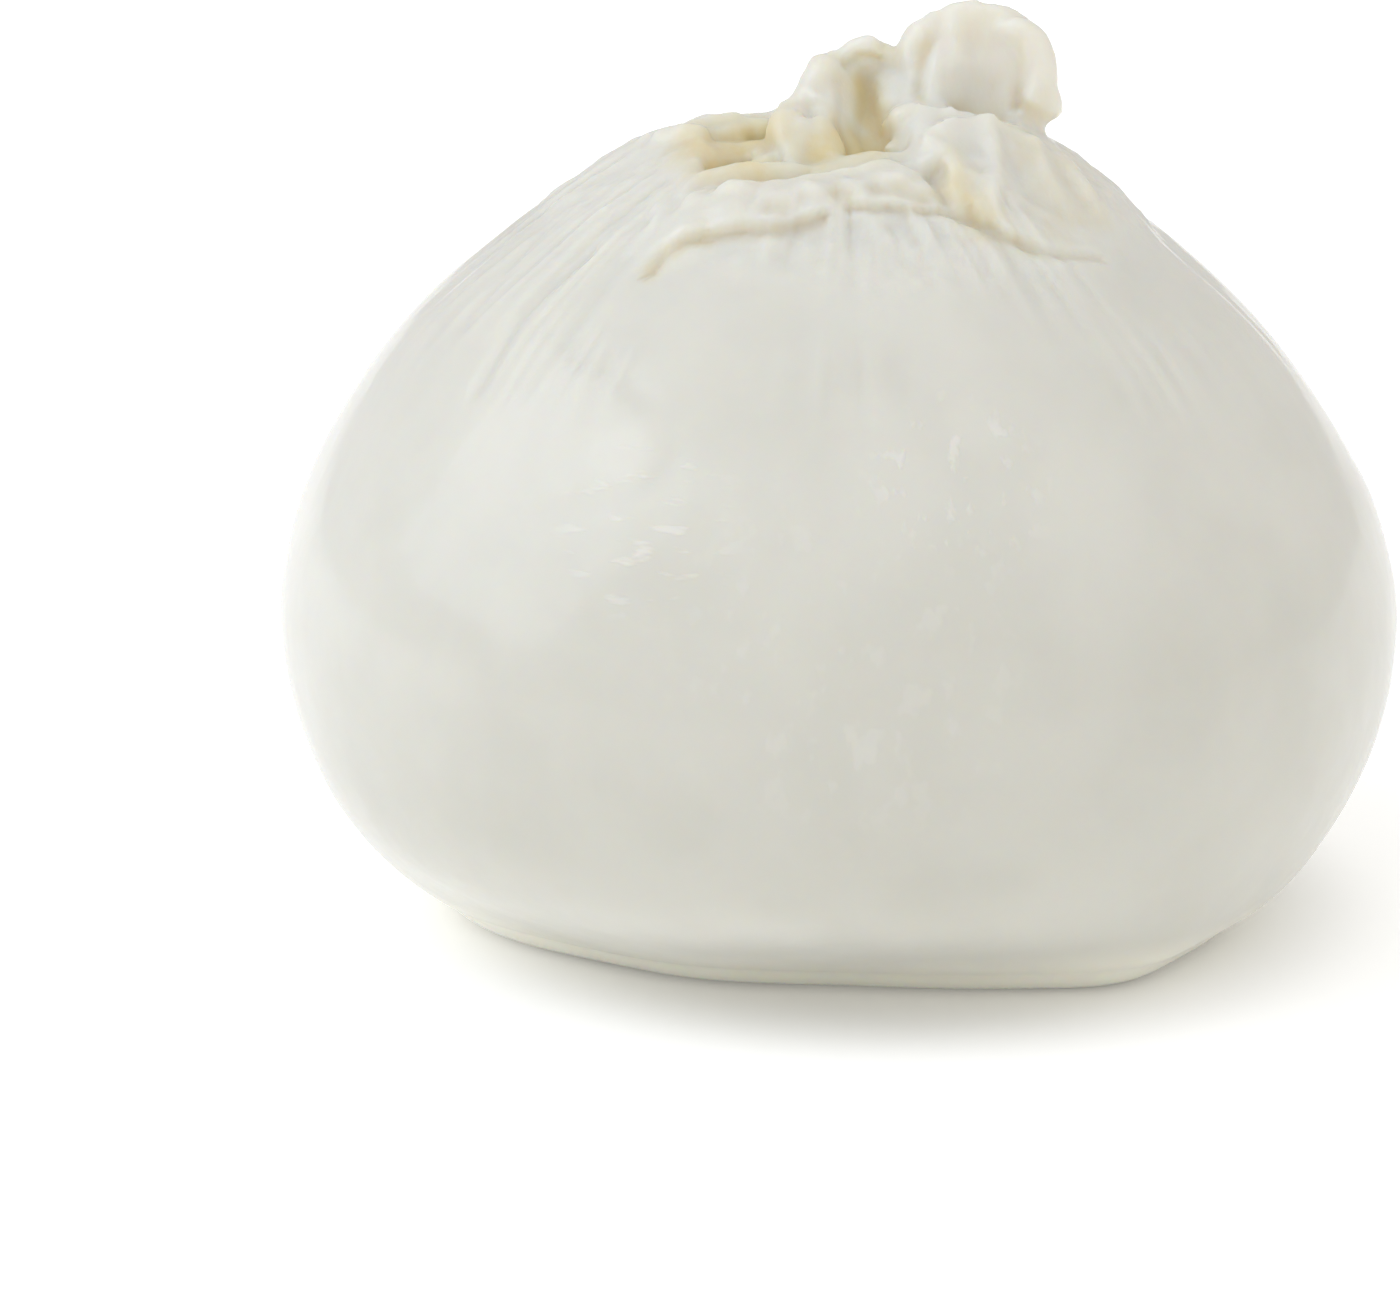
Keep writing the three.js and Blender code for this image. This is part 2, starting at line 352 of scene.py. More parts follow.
def relief_tree():
    """Geometry Nodes that gather the skin into pleats below the collar."""
    kinds = {
        "Pleats": "Int",
        "Depth": "Float",
        "Top": "Float",
        "Reach": "Float",
        "Seed": "Float",
        "Material": "Material",
    }
    tree, value = node_group("Pleats", kinds)
    place = tree.add("GeometryNodeInputPosition")
    normal = tree.add("GeometryNodeInputNormal")
    height = tree.add("ShaderNodeSeparateXYZ", None, {0: place}, output=2)
    flat = tree.vector("MULTIPLY", place, (1, 1, 0))
    round_ = tree.scale(tree.vector("NORMALIZE", flat), value["Pleats"] / math.tau)
    lift = tree.add("ShaderNodeCombineXYZ", None, {2: height * 45 + value["Seed"]})
    pattern = tree.noise(tree.vector("ADD", round_, lift), 1.0, 1.5)
    broad = tree.noise(tree.scale(place, 70.0), 1.0, 0.0)
    near = (height - value["Top"] + value["Reach"]) / value["Reach"]
    share = tree.step(0.0, 1.0, near) * tree.step(1.18, 1.02, near)
    amount = (pattern - 0.5) * share * value["Depth"] * tree.step(0.35, 0.62, broad)
    moved = tree.add(
        "GeometryNodeSetPosition",
        None,
        {"Geometry": value["Geometry"], "Offset": tree.scale(normal, amount)},
    )
    return end_group(tree, moved, value["Material"])


def grain_tree():
    """Geometry Nodes that scatter grains of curd over the part of a surface near one point."""
    kinds = {
        "Centre": "Vector",
        "Reach": "Float",
        "Spacing": "Float",
        "Grain": "Float",
        "Seed": "Int",
        "Material": "Material",
    }
    tree, value = node_group("Curd grains", kinds)
    place = tree.add("GeometryNodeInputPosition")
    away = tree.vector("DISTANCE", place, value["Centre"], output="Value")
    near = tree.add(
        "FunctionNodeCompare", {"operation": "LESS_THAN"}, {0: away, 1: value["Reach"]}
    )
    points = tree.add(
        "GeometryNodeDistributePointsOnFaces",
        {"distribute_method": "POISSON"},
        {
            "Mesh": value["Geometry"],
            "Selection": near,
            "Distance Min": value["Spacing"],
            "Density Max": MOST_GRAINS,
            "Seed": value["Seed"],
        },
    )
    ball = tree.add("GeometryNodeMeshIcoSphere", None, {"Radius": 1.0, "Subdivisions": 2})
    size = tree.add(
        "FunctionNodeRandomValue",
        {"data_type": "FLOAT"},
        {2: 0.6, 3: 1.3, "Seed": value["Seed"]},
        output=1,
    )
    grains = tree.add(
        "GeometryNodeInstanceOnPoints",
        None,
        {"Points": points, "Instance": ball, "Scale": size * value["Grain"]},
    )
    return end_group(tree, grains, value["Material"])


def run_nodes(thing, tree, values, name):
    """A new object with what a node tree makes of one, which is removed."""
    modifier = thing.modifiers.new(tree.name, "NODES")
    modifier.node_group = tree
    for item in tree.interface.items_tree:
        if item.in_out == "INPUT" and item.name in values:
            modifier[item.identifier] = values[item.name]
    return plain_copy(thing, name)


# ---- the cheese ----


def curd_material(look):
    """Milk-white stretched curd, wet and soft outside, with painted golden shade in its hollows and
    creases, painted shade low on the body, painted bounce light just above the foot and painted
    highlights on its flecks.
    """
    material = bpy.data.materials.new("Stretched curd")
    material.use_nodes = True
    tree = Tree(material.node_tree)
    material.node_tree.nodes.clear()
    place = tree.add("ShaderNodeTexCoord", output="Object")
    mm = tree.scale(place, 1 / MM)
    height = tree.add("ShaderNodeSeparateXYZ", None, {0: mm}, output=2)
    hollow = tree.add("ShaderNodeAttribute", {"attribute_name": "hollow"}, output="Fac")
    torn = tree.add("ShaderNodeAttribute", {"attribute_name": "torn"}, output="Fac")

    mottle = tree.noise(mm, 0.09, 3.0)
    fine = tree.noise(tree.vector("MULTIPLY", mm, (1.0, 1.0, 0.3)), 0.9, 3.0)
    # random warm mottle, and painted shade that darkens the skin towards the bottom
    mottle_and_low_shade = tree.step(0.35, 0.75, mottle) * 0.25 + tree.step(*LOW_SHADE_HEIGHTS, height) * 0.75
    skin = tree.blend(mottle_and_low_shade, (*look.milk_colour, 1), (*look.mottle_and_low_shade_colour, 1))
    # painted bounce light: a pale band just above the foot
    skin = tree.blend(tree.step(*BOUNCE_HEIGHTS, height), skin, (*look.foot_bounce_colour, 1))
    skin = tree.blend(tree.step(0.2, 0.9, torn), skin, (*look.curd_colour, 1))
    blotch = tree.noise(mm, 0.34, 2.0)
    # how much painted golden shade a point gets: its closed-in hollows and grooves, with random
    # blotches in the torn curd
    shade_and_blotch = hollow + ((fine - 0.5) * 0.45 + (blotch - 0.5) * 0.35) * torn
    tone = tree.blend(tree.step(0.08, 0.7, shade_and_blotch), skin, (*look.cream_shade_colour, 1))
    tone = tree.blend(tree.step(0.6, 1.1, shade_and_blotch), tone, (*look.gold_shade_colour, 1))

    fibres = tree.noise(tree.vector("MULTIPLY", mm, (1.0, 1.0, 0.35)), 1.6, 3.0) * torn
    ripple = tree.noise(mm, 0.16, 2.0)
    pores = tree.noise(mm, 2.4, 3.0, 0.6)
    flecks_and_glints = 0.0
    for centre, reach, squeeze, scale, strength in GLINTS:
        away = tree.vector("DISTANCE", mm, centre, output="Value")
        grains = tree.noise(tree.vector("MULTIPLY", mm, squeeze), scale, 2.0)
        near = tree.step(reach, reach * 0.4, away)
        flecks_and_glints = flecks_and_glints + tree.step(0.56, 0.68, grains) * near * strength
    # painted highlights: the flecks are lightened as well as raised
    tone = tree.blend(flecks_and_glints * 0.35, tone, PAINTED_GLINT_COLOUR)
    relief = ripple * 0.9 + pores * 0.05 + fibres * 0.25 + flecks_and_glints * 0.5
    bump = tree.add(
        "ShaderNodeBump", None, {"Strength": 0.35, "Distance": 0.0006, "Height": relief}
    )
    rough = look.roughness + (fine - 0.5) * 0.12 + torn * 0.05
    shader = tree.add(
        "ShaderNodeBsdfPrincipled",
        None,
        {
            "Base Color": tone,
            "Roughness": rough,
            "IOR": 1.4,
            "Subsurface Weight": 0.85,
            "Subsurface Radius": (1.0, 0.72, 0.42),
            "Subsurface Scale": 0.0042,
            "Coat Weight": 0.6,
            "Coat Roughness": 0.08,
            "Coat IOR": 1.35,
            "Normal": bump,
        },
    )
    tree.add("ShaderNodeOutputMaterial", None, {"Surface": shader})
    return material


def merged_node():
    """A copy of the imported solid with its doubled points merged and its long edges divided."""
    bm = bmesh.new()
    bm.from_mesh(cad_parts[NODE].data)
    bmesh.ops.remove_doubles(bm, verts=bm.verts, dist=1e-6)
    for _ in range(4):
        long = [edge for edge in bm.edges if edge.calc_length() > LONGEST_EDGE * MM]
        bmesh.ops.subdivide_edges(bm, edges=long, cuts=1)
        bmesh.ops.triangulate(bm, faces=bm.faces)
    mesh = bpy.data.meshes.new("solid")
    bm.to_mesh(mesh)
    bm.free()
    return linked("solid", mesh)


# Distance from the knot and how far it is drawn out there, so that one voxel size makes the
# knot fine and the body coarse.
REACH = np.linspace(0, 140, 1401)
MAGNIFY = np.interp(REACH, [0, 9, 19, 30, 140], [3.4, 3.4, 1.9, 0.8, 0.8])
DRAWN = np.concatenate([[0], np.cumsum((MAGNIFY[1:] + MAGNIFY[:-1]) / 2 * np.diff(REACH))])


def draw_out(points, source, target):
    """Moves points along their rays from the knot, from distances in source to those in target."""
    away = points - KNOT
    distance = np.linalg.norm(away, axis=1)
    return KNOT + away * (np.interp(distance, source, target) / np.maximum(distance, 1e-9))[:, None]


def melt(thing, voxel, name):
    """One closed skin round everything in a mesh, finest round the knot."""
    set_points(thing.data, draw_out(points_of(thing.data), REACH, DRAWN))
    modifier = thing.modifiers.new("Melt", "REMESH")
    modifier.mode = "VOXEL"
    modifier.voxel_size = voxel * MM
    skin = plain_copy(thing, name)
    set_points(skin.data, draw_out(points_of(skin.data), DRAWN, REACH))
    return skin


def body_share(points):
    """1 on the smooth body, falling to 0 in the collar and the knot."""
    radius = np.hypot(points[:, 0], points[:, 1])
    return np.maximum(fade(*NECK_RADII, radius), fade(*NECK_HEIGHTS, points[:, 2]))


def soften(mesh, knot_rounds, body_rounds):
    """Smooths the whole skin a little and its body much more."""
    points = points_of(mesh)
    edges = edges_of(mesh)
    for _ in range(knot_rounds):
        points = neighbour_mean(points, edges)
    body = body_share(points)[:, None]
    for _ in range(body_rounds):
        points += (neighbour_mean(points, edges) - points) * body
    set_points(mesh, points)


def flatten_foot(mesh):
    """Sets the skin's underside on the surface that it rests on."""
    points = points_of(mesh)
    points[:, 2] *= 1 - fade(*FOOT_HEIGHTS, points[:, 2])
    points[:, 2] = np.maximum(points[:, 2], 0)
    set_points(mesh, points)


def near_line(points, line, squash=1.0):
    """The distance of each point from a smooth curve, shortened by squash from front to back."""
    points = points - points @ FRONT[:, None] * FRONT * (1 - squash)
    path = spline(line, 8 * len(line))
    path -= path @ FRONT[:, None] * FRONT * (1 - squash)
    chosen = np.linalg.norm(points - path.mean(axis=0), axis=1) < np.ptp(path, axis=0).sum() + 6
    distance = np.full(len(points), np.inf)
    gaps = points[chosen][:, None] - path[None]
    distance[chosen] = np.sqrt((gaps**2).sum(axis=2).min(axis=1))
    return distance


def press_grooves(mesh):
    """Presses the creases into the skin, and gives how much golden shade is painted at each point
    of it.
    """
    points = points_of(mesh)
    normals = normals_of(mesh)
    sunk = np.zeros(len(points))
    groove_shade = np.zeros(len(points))
    for line, width, depth, share in GROOVES:
        near = bell(near_line(points, line), width)
        sunk = np.maximum(sunk, depth * near)
        near = bell(near_line(points, line, SHADE_SQUASH), 0.3 + width * 1.4)
        groove_shade = np.maximum(groove_shade, share * near)
    set_points(mesh, points - normals * sunk[:, None])
    return groove_shade


def press_dents(mesh):
    """Presses dents with one crisp edge into the skin."""
    points = points_of(mesh)
    normals = normals_of(mesh)
    for line, depth, reach in DENTS:
        path = spline(line, 10 * len(line))
        middle = path.mean(axis=0)
        near = np.nonzero(np.linalg.norm(points - middle, axis=1) < 4 * reach)[0]
        outward = middle * (1, 1, 0.6)
        outward /= np.linalg.norm(outward)
        right = np.cross((0, 0, 1), outward)
        right /= np.linalg.norm(right)
        up = np.cross(outward, right)
        plane = np.stack([right, up], axis=1)
        flat_path, flat_points = path @ plane, points[near] @ plane
        gaps = flat_points[:, None] - flat_path[None]
        distance = np.linalg.norm(gaps, axis=2)
        nearest = distance.argmin(axis=1)
        row = np.arange(len(near))
        gap, distance = gaps[row, nearest], distance[row, nearest]
        along = np.gradient(flat_path, axis=0)[nearest]
        side = np.sign(along[:, 0] * gap[:, 1] - along[:, 1] * gap[:, 0]) * distance
        sunk = depth * fade(0, 1.5, side) * np.exp(-np.maximum(side, 0) / reach)
        facing = fade(0.2, 0.6, normals[near] @ outward)
        points[near] -= normals[near] * (sunk * facing)[:, None]
    set_points(mesh, points)


def undulate(mesh, dimple_depth):
    """Gives the body its shallow dimples, and the torn curd its fibres."""
    points = points_of(mesh)
    normals = normals_of(mesh)
    body = body_share(points)
    torn = 1 - body
    foot = fade(1, 8, points[:, 2])
    slow = noise(points, 17.0, 3) * 0.5 + noise(points, 8.0, 5) * 0.22
    quick = noise(points, 3.6, 7) * 0.12
    lift = (slow + quick) * dimple_depth * body * foot
    fibre = noise(points * (1, 1, 0.28), 1.0, 11) * 0.13 + noise(points, 2.3, 13) * 0.12
    rear = fade(0, 5, points[:, 1]) * fade(57, 60, points[:, 2])
    lift += (fibre + noise(points * (1, 1, 0.5), 2.2, 17) * 0.3 * rear) * torn
    set_points(mesh, points + normals * lift[:, None])


def hollows(thing):
    """How far each point of the knot is closed in by the curd round it, from 0 to 1."""
    mesh = thing.data
    points = points_of(mesh)
    normals = normals_of(mesh)
    tree = BVHTree.FromObject(thing, bpy.context.evaluated_depsgraph_get())
    shares = (np.arange(RAYS) + 0.5) / RAYS
    turn = np.arange(RAYS) * math.pi * (3 - math.sqrt(5))
    flat = np.sqrt(1 - (1 - 2 * shares) ** 2)
    rays = np.stack([flat * np.cos(turn), flat * np.sin(turn), 1 - 2 * shares], axis=1)
    closed = np.zeros(len(points))
    radius = np.hypot(points[:, 0], points[:, 1])
    chosen = np.nonzero((points[:, 2] > KNOT_FLOOR) & (radius < KNOT_RADIUS))[0]
    for i in chosen:
        facing = rays @ normals[i]
        start = Vector((points[i] + normals[i] * 0.15) * MM)
        met = total = 0.0
        for k in np.nonzero(facing > 0.15)[0]:
            total += facing[k]
            away = tree.ray_cast(start, Vector(rays[k]), RAY_REACH * MM)[3]
            if away is not None:
                met += facing[k] * (1 - 0.5 * away / (RAY_REACH * MM))
        closed[i] = met / total
    edges = edges_of(mesh)
    for _ in range(3):
        closed = neighbour_mean(closed, edges)
    return closed


def attribute(mesh, name, values):
    """Stores a number at each point of a mesh."""
    layer = mesh.attributes.new(name, "FLOAT", "POINT")
    layer.data.foreach_set("value", values.astype(np.float32))


# Small strands, nubs and lips of curd on the collar and the topknot: the points of each one's
# middle line, its radius along it, and its thickness as a share of its width. Millimetres.
NUBS = (
    # the back of the cavity, a veil gathered from the middle lobe
    ([(-0.4, 0.3, 66.1), (-0.2, -1.9, 63.3), (-0.4, -5.4, 59.4)], [1.1, 1.3, 1.5], 0.6),
    ([(0.6, 0.7, 66.4), (0.8, -1.2, 62.5), (0.5, -5.2, 59.2)], [1.1, 1.2, 1.5], 0.6),
    ([(1.5, 0.9, 66.5), (1.6, -0.7, 62.4), (1.4, -4.6, 59.1)], [0.9, 1, 1.5], 0.6),
    (
        [(2.4, 1.6, 66.4), (2.5, 0.7, 63.3), (2.6, -1.2, 61.1), (2.8, -4.0, 59.1)],
        [1.3, 1.6, 1.8, 1.9], 0.8,
    ),
    (
        [(-2.3, -10.0, 59.0), (-0.5, -9.5, 59.2), (1.3, -9.0, 59.6), (3.1, -8.6, 59.7),
         (4.9, -8.6, 59.7)],
        [1.2, 1.4, 1.5, 1.5, 1.4], 0.9,
    ),
    ([(-1.1, -5.2, 61.6), (-1.0, -8.4, 59.7)], [1, 1.2], 0.9),
    # the curd right of the cavity
    (
        [(3.2, 1.2, 65.9), (3.8, -1.0, 63.6), (4.2, -3.2, 61.3), (4.4, -5.2, 59.4)],
        [1, 1.3, 1.4, 1.4], 0.8,
    ),
    (
        [(4.7, 0.6, 65.2), (4.8, -2.0, 63.3), (5.2, -5.2, 61.1), (5.3, -7.4, 59.8)],
        [1.2, 1.4, 1.6, 1.4], 0.8,
    ),
    ([(5.8, -3.8, 62.7), (6.1, -7.0, 61.2), (6.3, -10.2, 59.8)], [1.2, 1.5, 1.3], 1),
    # the curled lip of the middle lobe
    (
        [(-0.2, 1.2, 66.6), (0.7, 0.6, 67.3), (2.0, 0.2, 67.7), (2.7, 0.1, 67.2),
         (3.5, 0.4, 66.5)],
        [0.45, 0.6, 0.65, 0.6, 0.4], 1,
    ),
    # the left lobe: its face, its frilled edge and the strands that run down to the lip
    ([(-1.6, 0.4, 66.3), (-2.1, -1.2, 65.1), (-2.5, -2.6, 63.9)], [0.9, 1.2, 1.2], 0.8),
    ([(-1.2, -0.8, 65.4), (-1.3, -2.9, 63.5), (-1.5, -5.0, 62.0)], [0.7, 0.8, 0.8], 1),
    ([(-3.3, -1.8, 64.3), (-3.5, -2.2, 63.9)], [0.5, 0.6], 1),
    ([(-0.5, 0.6, 66.8), (-1.0, 0.5, 67.0)], [0.42, 0.45], 1),
    ([(-2.0, 0.3, 66.6), (-2.3, 0.2, 66.3)], [0.42, 0.42], 1),
    ([(-2.8, -0.6, 65.4), (-3.0, -0.8, 65.0)], [0.42, 0.42], 1),
    ([(-2.7, -2.8, 64.6), (-2.0, -3.6, 64.1)], [0.5, 0.5], 1),
    ([(-4.7, -3.2, 63.3), (-4.0, -2.8, 63.4)], [0.65, 0.65], 1),
    ([(-5.1, -4.2, 62.7), (-4.4, -4.6, 62.5)], [0.6, 0.8], 1),
    ([(-5.3, -4.8, 62.0), (-4.5, -5.2, 61.7)], [0.5, 0.7], 1),
    ([(-3.6, -5.0, 62.3), (-3.0, -6.0, 61.3)], [1.1, 1], 1),
    ([(-1.7, -4.8, 62.7), (-1.7, -6.8, 61.2), (-1.9, -8.8, 59.5)], [0.7, 0.75, 0.7], 1),
    ([(-2.8, -5.6, 61.9), (-2.9, -7.4, 60.4), (-3.0, -9.0, 59.1)], [0.8, 0.9, 0.8], 1),
    ([(-3.9, -5.6, 61.4), (-3.9, -7.6, 60.2), (-3.8, -9.4, 59.1)], [0.9, 1, 0.8], 1),
    # the rim and the lumps of the collar's front, from left to right
    (
        [(-5.9, -13.3, 59.5), (-3.7, -12.9, 59.6), (-1.9, -12.5, 59.7), (-0.5, -12.2, 59.9),
         (0.7, -11.7, 60.0), (1.6, -11.6, 60.3), (3.0, -11.6, 60.4), (4.4, -11.3, 60.4)],
        [0.3, 0.45, 0.4, 0.5, 0.42, 0.5, 0.45, 0.3], 1,
    ),
    ([(-9.7, -14.3, 58.6), (-8.4, -14.2, 59.1), (-7.1, -15.2, 58.9)], [0.6, 0.95, 0.7], 1),
    ([(-5.7, -15.4, 59.1), (-4.4, -15.9, 58.6)], [0.7, 0.8], 1),
    ([(-3.3, -14.8, 59.3), (-2.3, -15.1, 59.1), (-1.1, -14.3, 59.2)], [0.7, 0.95, 0.6], 1),
    ([(-2.9, -16.3, 58.2), (-1.8, -16.1, 58.2)], [0.6, 0.6], 1),
    ([(0.0, -13.2, 59.6), (0.5, -14.2, 59.2), (0.3, -15.0, 58.6)], [0.45, 0.6, 0.45], 1),
    ([(1.3, -13.4, 59.6), (1.5, -14.8, 58.8)], [0.5, 0.6], 1),
    ([(2.5, -12.8, 59.8), (3.6, -13.1, 59.6), (4.7, -12.4, 59.7)], [0.6, 0.8, 0.6], 1),
    ([(2.2, -14.6, 58.7), (3.6, -14.1, 58.8)], [0.55, 0.5], 1),
    ([(4.8, -13.7, 58.8), (6.0, -12.7, 59.0)], [0.6, 0.7], 1),
    ([(-11.9, -11.9, 58.2), (-10.8, -15.0, 58.0)], [0.8, 0.75], 1),
    ([(-13.5, -12.5, 57.5), (-14.1, -15.2, 56.4)], [0.9, 0.7], 1),
    ([(-9.7, -16.2, 57.6), (-7.9, -16.4, 58.0), (-6.6, -16.8, 57.8)], [0.6, 0.7, 0.6], 1),
    # the collar's lower edge, which hangs over the gathered skin
    (
        [(-13.4, -17.0, 55.2), (-12.6, -17.1, 56.1), (-11.6, -17.0, 56.7), (-10.3, -16.9, 56.9)],
        [0.4, 0.6, 0.65, 0.4], 1,
    ),
    ([(-9.9, -17.1, 57.0), (-8.8, -17.3, 57.3), (-7.5, -17.4, 57.3)], [0.5, 0.7, 0.5], 1),
    ([(-7.3, -17.3, 57.4), (-5.8, -17.4, 57.6), (-4.2, -17.1, 57.5)], [0.5, 0.65, 0.5], 1),
    ([(-4.0, -17.0, 57.7), (-2.7, -16.8, 58.0), (-1.1, -15.9, 58.3)], [0.5, 0.65, 0.4], 1),
    (
        [(-0.3, -15.5, 58.4), (0.9, -15.3, 58.6), (2.2, -15.1, 58.4), (3.5, -14.8, 58.5),
         (5.3, -14.4, 58.2), (6.9, -13.8, 57.8)],
        [0.4, 0.55, 0.5, 0.6, 0.5, 0.3], 1,
    ),
    # pleats that start bright under the collar's edge
    ([(-1.0, -15.8, 58.1), (-0.8, -16.6, 56.7), (-1.2, -19.1, 55.2)], [0.7, 0.75, 0.55], 1),
    ([(4.2, -14.8, 57.7), (5.9, -16.6, 56.3), (7.8, -19.7, 54.2)], [0.7, 0.75, 0.6], 1),
    ([(7.1, -14.7, 57.0), (9.4, -17.0, 55.2), (11.9, -19.6, 52.8)], [0.7, 0.75, 0.6], 1),
    ([(-11.2, -17.6, 55.3), (-12.5, -20.0, 53.6)], [0.7, 0.65], 1),
    ([(-5.5, -17.5, 56.4), (-6.4, -20.7, 54.4)], [0.7, 0.65], 1),
    ([(1.5, -15.4, 57.8), (2.4, -17.4, 56.0), (2.9, -21.1, 53.8)], [0.7, 0.72, 0.65], 1),
    # the slab left of the hollow, with its knobbed end
    ([(-14.0, -2.0, 60.6), (-12.2, -3.5, 61.1), (-10.6, -4.0, 61.3)], [1.1, 1.2, 1.1], 0.9),
    ([(-10.9, -5.5, 60.9), (-10.6, -5.7, 60.5)], [0.6, 0.65], 1),
    ([(-11.5, -1.4, 61.5), (-9.7, -0.8, 61.6), (-7.7, -0.4, 62.0)], [0.9, 0.85, 0.8], 0.8),
    ([(-11.3, -2.6, 60.7), (-9.2, -2.2, 60.8), (-7.5, -1.6, 61.1)], [1, 1.1, 1], 0.7),
    # the floor of the left hollow and the crumbs of curd in it
    ([(-7.8, -0.6, 61.0), (-5.6, -1.2, 61.1)], [1.2, 1.4], 0.7),
    (
        [(-10.8, -6.4, 59.1), (-9.0, -4.2, 58.9), (-7.4, -3.8, 59.0), (-5.6, -4.2, 59.6)],
        [1.6, 2, 2, 1.6], 0.9,
    ),
    ([(-7.2, -7.2, 59.1), (-6.1, -7.0, 59.3), (-5.2, -6.6, 59.4)], [0.9, 1.2, 1.2], 0.9),
    ([(-6.6, -5.8, 60.1), (-6.1, -5.6, 60.4)], [0.6, 0.5], 1),
    (
        [(-11.9, -11.2, 58.3), (-9.9, -10.6, 58.7), (-7.9, -10.2, 59.0), (-5.7, -10.0, 59.1),
         (-3.2, -10.0, 59.1)],
        [1.2, 1.4, 1.5, 1.4, 1.2], 0.9,
    ),
    # the drape right of the knot: its top, its left ridge and its folds
    ([(7.8, -3.2, 62.4), (7.8, -5.6, 61.0), (7.5, -8.6, 59.7)], [1.2, 1.3, 1], 0.9),
    ([(9.1, -4.0, 62.7), (9.1, -6.4, 61.4), (8.9, -8.8, 60.2)], [1.1, 1.5, 1], 0.9),
    ([(6.3, -6.7, 59.4), (7.9, -11.5, 58.9), (9.1, -13.8, 57.7)], [1, 1.3, 0.9], 0.9),
    (
        [(10.7, -5.5, 62.8), (10.8, -7.9, 61.4), (11.0, -9.8, 59.9), (10.7, -13.0, 58.7),
         (10.7, -14.5, 57.6), (11.6, -15.2, 56.2), (13.7, -14.9, 55.1)],
        [1, 0.95, 0.85, 0.8, 0.75, 0.65, 0.4], 1,
    ),
    ([(12.0, -9.1, 59.8), (12.1, -10.7, 58.7), (12.5, -12.8, 57.6)], [0.45, 0.5, 0.4], 1),
    ([(14.0, -5.3, 61.2), (14.7, -8.4, 59.0), (16.2, -10.1, 56.8)], [0.9, 0.95, 0.6], 0.9),
    ([(16.3, -4.6, 59.9), (17.7, -7.3, 57.9), (19.5, -8.7, 55.6)], [0.8, 0.95, 0.6], 0.9),
    # the fan: its left frill, its ridge, its right rim and its torn tip
    ([(5.0, 1.0, 67.7), (5.8, 0.8, 68.3)], [0.7, 0.8], 0.8),
    ([(6.2, 0.9, 69.0), (7.2, 0.9, 69.8)], [0.7, 0.7], 0.8),
    (
        [(8.1, 0.9, 70.2), (9.9, 0.8, 70.3), (11.9, 0.5, 70.1), (13.4, 0.0, 69.2)],
        [0.5, 0.55, 0.5, 0.5], 1,
    ),
    ([(7.3, -0.4, 67.6), (6.9, -1.8, 65.6), (6.4, -3.2, 63.4)], [0.5, 0.6, 0.65], 1),
    ([(5.1, 0.4, 66.8), (5.2, -0.4, 65.4), (5.4, -1.6, 63.7)], [0.8, 0.9, 1], 0.7),
    ([(5.9, 0.6, 68.1), (6.2, 0.0, 66.4), (6.1, -0.9, 64.8)], [0.9, 0.9, 0.8], 0.7),
    (
        [(14.0, -0.6, 68.9), (14.9, -1.4, 67.1), (15.0, -2.2, 65.4), (14.4, -3.0, 63.5)],
        [0.8, 1.15, 1.2, 1], 0.9,
    ),
    ([(15.3, -2.3, 62.9), (16.2, -2.1, 63.5)], [0.8, 0.75], 1),
)

